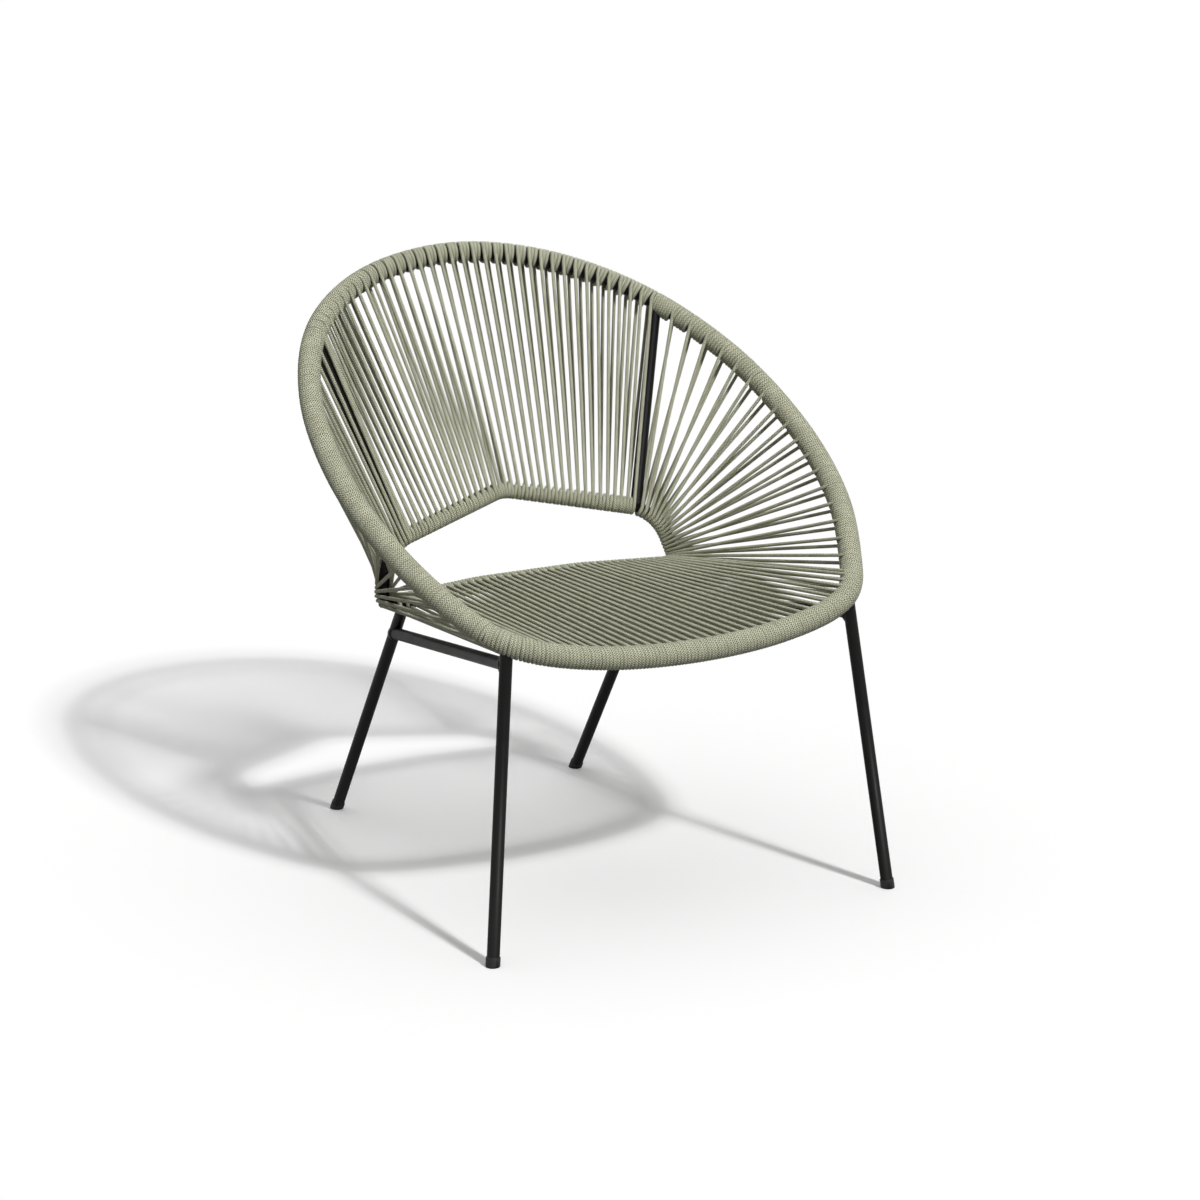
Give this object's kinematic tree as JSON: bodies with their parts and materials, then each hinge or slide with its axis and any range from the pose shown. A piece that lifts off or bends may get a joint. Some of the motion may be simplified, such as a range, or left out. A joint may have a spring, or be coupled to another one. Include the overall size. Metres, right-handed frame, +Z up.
{
  "type": "acapulco chair",
  "caption": "Low lounge chair: a rope-strung shell on a steel hoop and inner loop, standing on splayed tube legs with side rails.",
  "frame": {"origin": "on the floor, under the middle of the chair's overall width and depth", "axes": "+Z up, the sitter looks along -Y, +X is to the right of a viewer who stands in front"},
  "size_m": [0.7004, 0.6748, 0.7725],
  "materials": {
    "steel_frame": "satin black powder coat",
    "rope": "sage green braided outdoor rope",
    "foot_caps": "matte black"
  },
  "bodies": {
    "root": {"hoop": "steel_frame", "inner_loop": "steel_frame", "left_back_strut": "steel_frame", "right_back_strut": "steel_frame", "left_front_leg": "steel_frame", "right_front_leg": "steel_frame", "left_rear_leg": "steel_frame", "right_rear_leg": "steel_frame", "left_side_rail": "steel_frame", "right_side_rail": "steel_frame", "left_front_foot_cap": "foot_caps", "right_front_foot_cap": "foot_caps", "left_rear_foot_cap": "foot_caps", "right_rear_foot_cap": "foot_caps", "back_ropes": "rope", "left_side_ropes": "rope", "right_side_ropes": "rope", "seat_ropes": "rope"}
  },
  "joints": []
}
